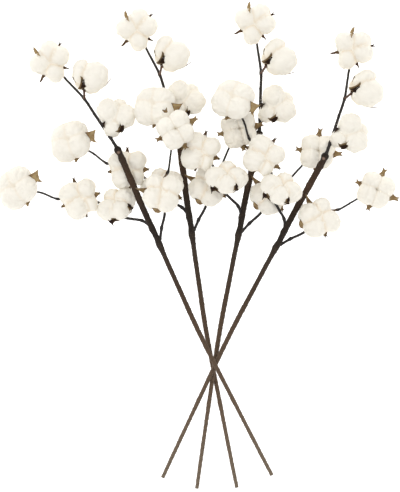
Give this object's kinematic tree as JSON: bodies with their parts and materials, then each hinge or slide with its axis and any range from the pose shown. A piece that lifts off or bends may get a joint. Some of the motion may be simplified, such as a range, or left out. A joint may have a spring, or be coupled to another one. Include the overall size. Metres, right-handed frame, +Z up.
{
  "type": "cotton stem bunch",
  "caption": "Long bare stems with open cotton bolls in dark burs, laid crossed in a fan.",
  "frame": {"origin": "centre of the bounding box, on the surface that the bunch lies on", "axes": "+X across the fan, +Y from the cut ends to the tips, +Z up from the surface"},
  "size_m": [0.559, 0.6875, 0.1032],
  "materials": {
    "cotton": "soft matt off-white fibre",
    "stem_wrap": "matt dark brown, finely wrinkled wrap",
    "twig_and_bur": "matt near-black twig, brown dry bur"
  },
  "bodies": {
    "root": {"stem_1_main": "stem_wrap", "stem_1_top_twig": "twig_and_bur", "stem_1_left_branch": "twig_and_bur", "stem_1_right_branch": "twig_and_bur", "stem_1_cotton_tip": "cotton", "stem_1_cotton_upper": "cotton", "stem_1_cotton_shoulder": "cotton", "stem_1_cotton_left_far": "cotton", "stem_1_cotton_left_mid": "cotton", "stem_1_cotton_left_near": "cotton", "stem_1_cotton_right_near": "cotton", "stem_1_cotton_right_far": "cotton", "stem_2_main": "stem_wrap", "stem_2_top_twig": "twig_and_bur", "stem_2_left_branch": "twig_and_bur", "stem_2_right_branch": "twig_and_bur", "stem_2_cotton_tip": "cotton", "stem_2_cotton_upper": "cotton", "stem_2_cotton_shoulder": "cotton", "stem_2_cotton_left_far": "cotton", "stem_2_cotton_left_mid": "cotton", "stem_2_cotton_left_near": "cotton", "stem_2_cotton_right_near": "cotton", "stem_2_cotton_right_far": "cotton", "stem_3_main": "stem_wrap", "stem_3_top_twig": "twig_and_bur", "stem_3_left_branch": "twig_and_bur", "stem_3_right_branch": "twig_and_bur", "stem_3_cotton_tip": "cotton", "stem_3_cotton_upper": "cotton", "stem_3_cotton_shoulder": "cotton", "stem_3_cotton_left_far": "cotton", "stem_3_cotton_left_mid": "cotton", "stem_3_cotton_left_near": "cotton", "stem_3_cotton_right_near": "cotton", "stem_3_cotton_right_far": "cotton", "stem_4_main": "stem_wrap", "stem_4_top_twig": "twig_and_bur", "stem_4_left_branch": "twig_and_bur", "stem_4_right_branch": "twig_and_bur", "stem_4_cotton_tip": "cotton", "stem_4_cotton_upper": "cotton", "stem_4_cotton_shoulder": "cotton", "stem_4_cotton_left_far": "cotton", "stem_4_cotton_left_mid": "cotton", "stem_4_cotton_left_near": "cotton", "stem_4_cotton_right_near": "cotton", "stem_4_cotton_right_far": "cotton"}
  },
  "joints": []
}
